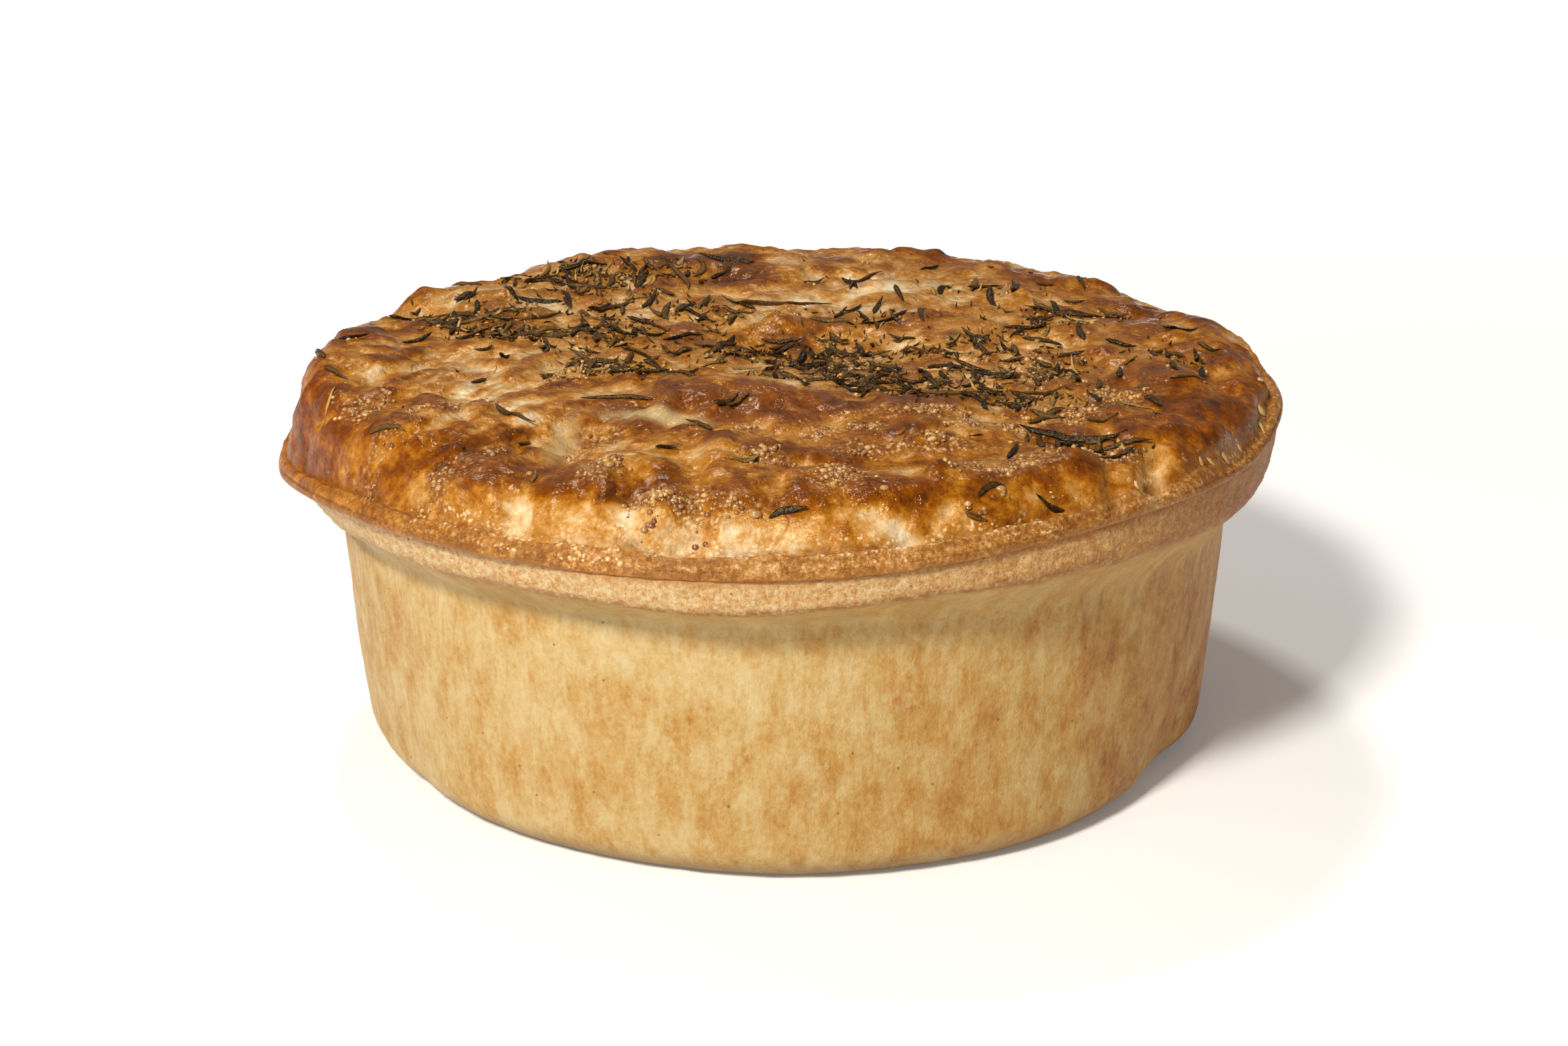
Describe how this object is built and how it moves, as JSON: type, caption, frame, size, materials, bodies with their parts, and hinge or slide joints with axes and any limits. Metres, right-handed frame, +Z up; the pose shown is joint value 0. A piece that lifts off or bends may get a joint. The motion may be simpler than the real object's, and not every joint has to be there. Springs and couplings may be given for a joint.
{
  "type": "chicken and ham pie",
  "caption": "Deep round pie: a pale tapered pastry case with a flared flange under a puffed, folded, glazed brown lid strewn with dried herb leaves, standing on its flat base.",
  "frame": {"origin": "middle of the flat base, on the surface that the pie stands on", "axes": "+Z up through the lid, -Y towards the front, where the lid's rim hangs lower on the left (-X) than on the right"},
  "size_m": [0.1532, 0.1539, 0.063],
  "materials": {
    "baked_case": "matt pale golden baked pastry, mottled light brown, with fine upright streaks",
    "glazed_lid": "glossy egg-glazed golden to red-brown pastry with dark herb leaves",
    "herb_leaf": "dry dark brown and olive herb needles with a slight sheen"
  },
  "bodies": {
    "root": {"pastry_case": "baked_case", "pastry_lid": "glazed_lid"}
  },
  "joints": []
}
